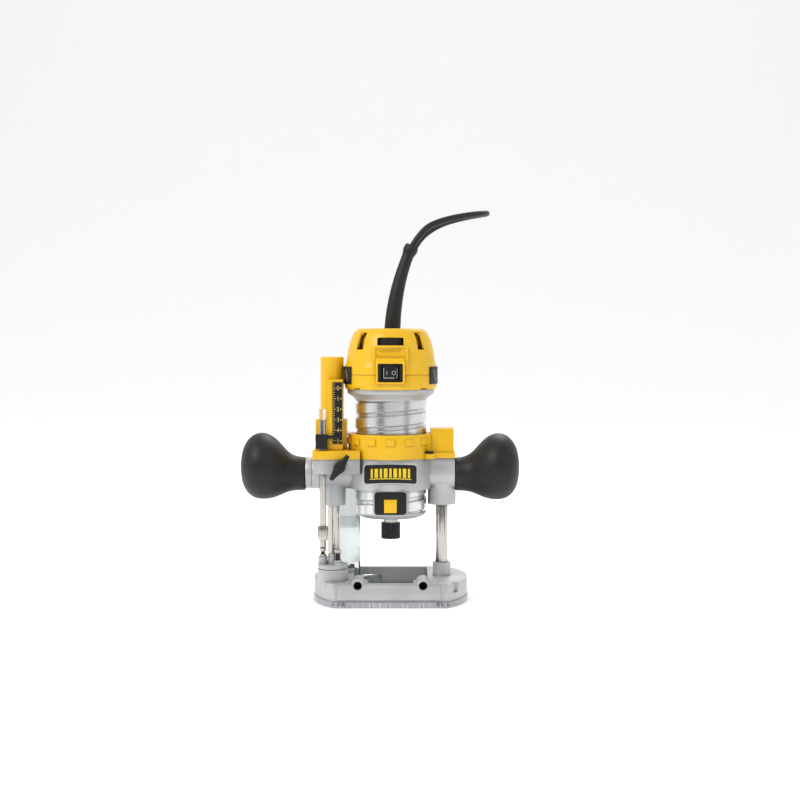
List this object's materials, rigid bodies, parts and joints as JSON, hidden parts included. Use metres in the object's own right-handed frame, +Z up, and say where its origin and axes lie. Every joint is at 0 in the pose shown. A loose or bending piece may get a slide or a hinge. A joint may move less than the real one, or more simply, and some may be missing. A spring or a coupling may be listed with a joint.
{
  "type": "plunge router",
  "caption": "Hand-held plunge router with a removable cylindrical motor, two side grips, sprung plunge columns, turret depth stop, clear dust duct and a mains cord.",
  "frame": {"origin": "centre of the cutter opening in the underside of the clear sole plate, on the spindle axis", "axes": "+Z up along the spindle, +X to the operator's right, -Y to the front where the switch and nameplate are"},
  "size_m": [0.2728, 0.21, 0.3832],
  "materials": {
    "clear_plastic": "clear moulded plastic",
    "dark_steel": "black oxide steel",
    "bright_steel": "ground steel",
    "spring_steel": "spring wire",
    "lamination_steel": "stacked laminations",
    "cast_aluminium": "sand coloured silver cast aluminium, fine grain",
    "turned_aluminium": "turned aluminium",
    "cord_rubber": "black mains cord rubber",
    "grip_rubber": "matt black soft grip",
    "yellow_plastic": "semi gloss yellow plastic",
    "black_plastic": "black plastic",
    "brass": "plain",
    "copper": "copper",
    "board": "green circuit board",
    "carbon": "pressed carbon"
  },
  "bodies": {
    "base": {"sub_base": "clear_plastic", "base_screws": "dark_steel", "base_casting": "cast_aluminium", "left_column": "bright_steel", "right_column": "bright_steel", "plunge_springs": "spring_steel", "dust_duct": "clear_plastic", "dust_scoop": "clear_plastic", "turret_bolt": "bright_steel", "cord_lead": "cord_rubber", "cord_tail": "cord_rubber", "cord_coil": "cord_rubber", "plug_body": "cord_rubber", "plug_pins": "brass"},
    "turret": {"stop_turret": "cast_aluminium", "stop_screws": "dark_steel", "stop_lock_nuts": "bright_steel"},
    "carriage": {"carriage_casting": "cast_aluminium", "column_bushes": "brass", "carriage_cover": "yellow_plastic", "cover_screws": "dark_steel", "column_tower": "yellow_plastic", "depth_scale": "black_plastic", "nameplate": "black_plastic", "left_grip": "grip_rubber", "right_grip": "grip_rubber", "grip_collar": "cast_aluminium", "dust_tube": "clear_plastic", "plunge_lock_screw": "dark_steel", "clamp_bolt": "bright_steel", "motor_barrel": "turned_aluminium", "motor_cap": "yellow_plastic", "cap_pads": "black_plastic", "switch_body": "black_plastic", "control_board": "board", "strain_relief": "cord_rubber", "stator": "lamination_steel", "field_coils": "copper", "motor_bearings": "bright_steel", "bearing_bridge": "black_plastic", "carbon_brushes": "carbon", "brush_holders": "brass", "brush_springs": "spring_steel", "lock_housing": "black_plastic"},
    "depth_stop": {"depth_rod": "bright_steel", "rod_cap": "clear_plastic", "depth_pointer": "black_plastic"},
    "adjuster": {"fine_adjuster": "bright_steel"},
    "depth_knob": {"depth_knob": "black_plastic"},
    "plunge_lever": {"plunge_lock_lever": "black_plastic"},
    "motor_latch": {"clamp_lever": "bright_steel"},
    "spindle": {"spindle_shaft": "bright_steel", "collet": "bright_steel", "collet_nut": "dark_steel", "armature": "lamination_steel", "commutator": "copper", "cooling_fan": "black_plastic"},
    "rocker": {"power_rocker": "black_plastic"},
    "dial": {"speed_dial": "black_plastic"},
    "lock_button": {"lock_button": "yellow_plastic"}
  },
  "joints": [
    {"name": "plunge", "type": "slide", "parent": "base", "child": "carriage", "axis": [0, 0, -1], "range_m": [0, 0.055], "stiffness_N_per_m": 500, "springref_m": -0.11, "deforming": ["plunge_springs", "cord_lead"]},
    {"name": "turret_turn", "type": "hinge", "parent": "base", "child": "turret", "pos_m": [-0.055, -0.0265, 0.036], "axis": [0, 0, 1], "continuous": true},
    {"name": "depth_rod_slide", "type": "slide", "parent": "carriage", "child": "depth_stop", "axis": [0, 0, 1], "range_m": [0, 0.055]},
    {"name": "fine_adjust", "type": "hinge", "parent": "depth_stop", "child": "adjuster", "pos_m": [-0.0645, -0.0265, 0.067], "axis": [0, 0, 1], "continuous": true},
    {"name": "depth_knob_turn", "type": "hinge", "parent": "carriage", "child": "depth_knob", "pos_m": [-0.048, -0.04, 0.131], "axis": [0, 1, 0], "range_deg": [-120, 120]},
    {"name": "plunge_lever_swing", "type": "hinge", "parent": "carriage", "child": "plunge_lever", "pos_m": [0.052, 0.02, 0.1225], "axis": [0, 1, 0], "range_deg": [0, 35], "stiffness_Nm_per_rad": 0.2, "springref_deg": -17.19},
    {"name": "latch_swing", "type": "hinge", "parent": "carriage", "child": "motor_latch", "pos_m": [0.0157, 0.05, 0.123], "axis": [1, 0, 0], "range_deg": [0, 110]},
    {"name": "spindle_spin", "type": "hinge", "parent": "carriage", "child": "spindle", "pos_m": [0, 0, 0.1], "axis": [0, 0, -1], "continuous": true},
    {"name": "rocker_tilt", "type": "hinge", "parent": "carriage", "child": "rocker", "pos_m": [0, -0.042, 0.22], "axis": [0, 0, 1], "range_deg": [0, 12]},
    {"name": "dial_turn", "type": "hinge", "parent": "carriage", "child": "dial", "pos_m": [0, -0.0258, 0.2497], "axis": [0, 0, 1], "range_deg": [0, 270]},
    {"name": "lock_press", "type": "slide", "parent": "carriage", "child": "lock_button", "axis": [0, 1, 0], "range_m": [0, 0.003], "stiffness_N_per_m": 600, "springref_m": -0.004}
  ],
  "couplings": [
    {"joint": "depth_rod_slide", "follows": "plunge", "ratio": 1}
  ]
}
